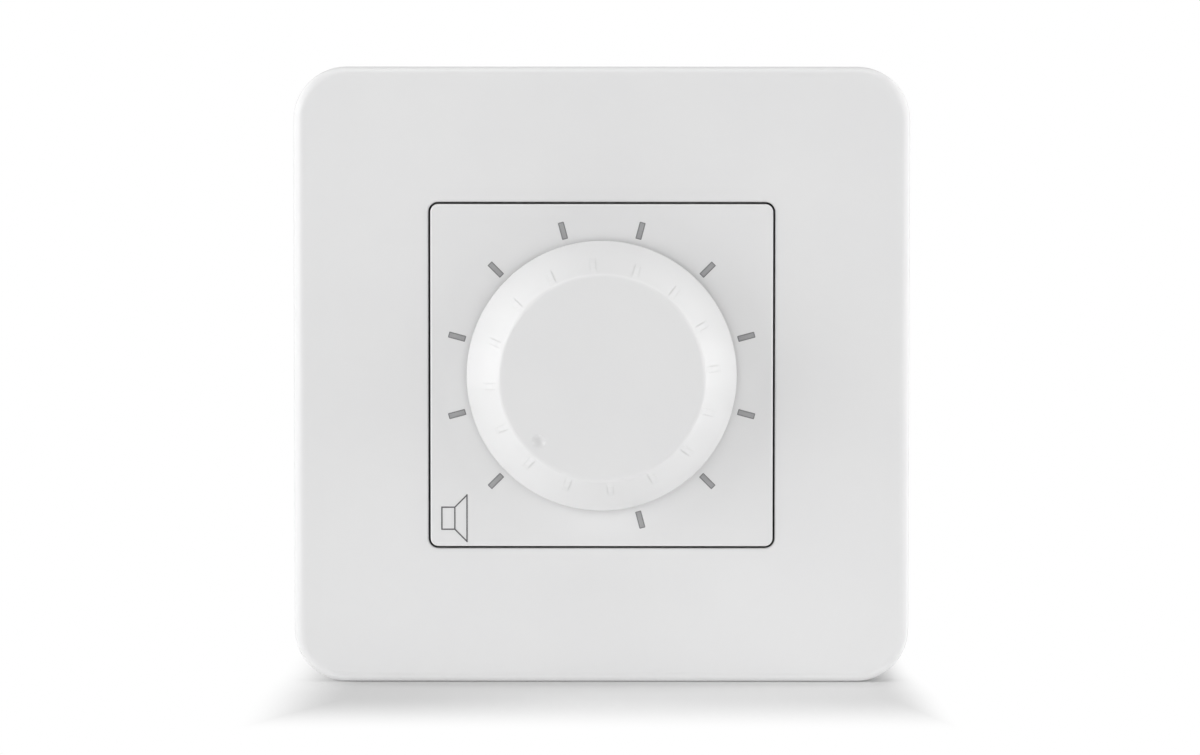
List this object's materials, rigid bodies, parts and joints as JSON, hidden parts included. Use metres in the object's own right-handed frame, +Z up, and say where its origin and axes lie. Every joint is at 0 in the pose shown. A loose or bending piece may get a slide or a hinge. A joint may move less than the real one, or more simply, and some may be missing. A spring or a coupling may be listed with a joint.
{
  "type": "speaker volume control",
  "caption": "Flush wall-mounted rotary volume control for a loudspeaker line, with a tapped autotransformer behind a square cover frame.",
  "frame": {"origin": "on the knob's axis, in the plane of the wall", "axes": "+Y into the wall, along the knob's axis; -Y towards the user; +Z up; +X to the user's right"},
  "size_m": [0.081, 0.0518, 0.081],
  "materials": {
    "white_frame": "smooth moulded, satin gloss",
    "white_insert": "smooth moulded, satin gloss",
    "white_knob": "smooth moulded, satin gloss",
    "grey_ink": "pad-printed grey ink",
    "zinc_steel": "zinc-plated, pressed",
    "spring_steel": "bright spring steel",
    "nickel_metal": "nickel-plated, satin",
    "shaft_metal": "turned brass",
    "black_plastic": "moulded phenolic",
    "contact_metal": "tinned bronze",
    "board_laminate": "green solder mask on glass laminate",
    "solder": "smooth solder",
    "core_steel": "stamped silicon steel sheet",
    "copper": "enamelled copper wire",
    "tape": "polyester tape",
    "terminal_plastic": "moulded polyamide"
  },
  "bodies": {
    "module": {"cover_frame": "white_frame", "support_frame": "zinc_steel", "module_front": "white_insert", "dial_marks": "grey_ink", "speaker_symbol": "grey_ink", "switch_nut": "nickel_metal", "lock_washer": "spring_steel", "stop_washer": "spring_steel", "switch_cover": "nickel_metal", "switch_base": "black_plastic", "switch_contacts": "contact_metal", "common_contact": "contact_metal", "detent_spring": "spring_steel", "circuit_board": "board_laminate", "board_screws": "zinc_steel", "solder_joints": "solder", "e_laminations": "core_steel", "i_laminations": "core_steel", "coil_bobbin": "black_plastic", "bobbin_pins": "contact_metal", "coil_winding": "copper", "coil_tape": "tape", "core_clamp": "zinc_steel", "terminal_block": "terminal_plastic", "terminal_bars": "contact_metal"},
    "knob_and_rotor": {"knob": "white_knob", "knob_grip_ring": "spring_steel", "switch_shaft": "shaft_metal", "shaft_clip": "spring_steel", "switch_rotor": "black_plastic", "switch_wiper": "contact_metal"},
    "screw_1": {"clamp_screw_1": "zinc_steel"},
    "cage_1": {"clamp_cage_1": "zinc_steel"},
    "screw_2": {"clamp_screw_2": "zinc_steel"},
    "cage_2": {"clamp_cage_2": "zinc_steel"},
    "screw_3": {"clamp_screw_3": "zinc_steel"},
    "cage_3": {"clamp_cage_3": "zinc_steel"},
    "screw_4": {"clamp_screw_4": "zinc_steel"},
    "cage_4": {"clamp_cage_4": "zinc_steel"}
  },
  "joints": [
    {"name": "knob_turn", "type": "hinge", "parent": "module", "child": "knob_and_rotor", "pos_m": [0, 0, 0], "axis": [0, 1, 0], "range_deg": [0, 300], "deforming": ["detent_spring"]},
    {"name": "clamp_screw_turn_1", "type": "hinge", "parent": "module", "child": "screw_1", "pos_m": [-0.00762, 0, -0.0162], "axis": [0, -1, 0], "range_deg": [0, 1800]},
    {"name": "clamp_cage_slide_1", "type": "slide", "parent": "module", "child": "cage_1", "axis": [0, 1, 0], "range_m": [0, 0.00225]},
    {"name": "clamp_screw_turn_2", "type": "hinge", "parent": "module", "child": "screw_2", "pos_m": [-0.00254, 0, -0.0162], "axis": [0, -1, 0], "range_deg": [0, 1800]},
    {"name": "clamp_cage_slide_2", "type": "slide", "parent": "module", "child": "cage_2", "axis": [0, 1, 0], "range_m": [0, 0.00225]},
    {"name": "clamp_screw_turn_3", "type": "hinge", "parent": "module", "child": "screw_3", "pos_m": [0.00254, 0, -0.0162], "axis": [0, -1, 0], "range_deg": [0, 1800]},
    {"name": "clamp_cage_slide_3", "type": "slide", "parent": "module", "child": "cage_3", "axis": [0, 1, 0], "range_m": [0, 0.00225]},
    {"name": "clamp_screw_turn_4", "type": "hinge", "parent": "module", "child": "screw_4", "pos_m": [0.00762, 0, -0.0162], "axis": [0, -1, 0], "range_deg": [0, 1800]},
    {"name": "clamp_cage_slide_4", "type": "slide", "parent": "module", "child": "cage_4", "axis": [0, 1, 0], "range_m": [0, 0.00225]}
  ],
  "couplings": [
    {"joint": "clamp_screw_turn_1", "follows": "clamp_cage_slide_1", "rad_per_m": 13963},
    {"joint": "clamp_screw_turn_2", "follows": "clamp_cage_slide_2", "rad_per_m": 13963},
    {"joint": "clamp_screw_turn_3", "follows": "clamp_cage_slide_3", "rad_per_m": 13963},
    {"joint": "clamp_screw_turn_4", "follows": "clamp_cage_slide_4", "rad_per_m": 13963}
  ]
}
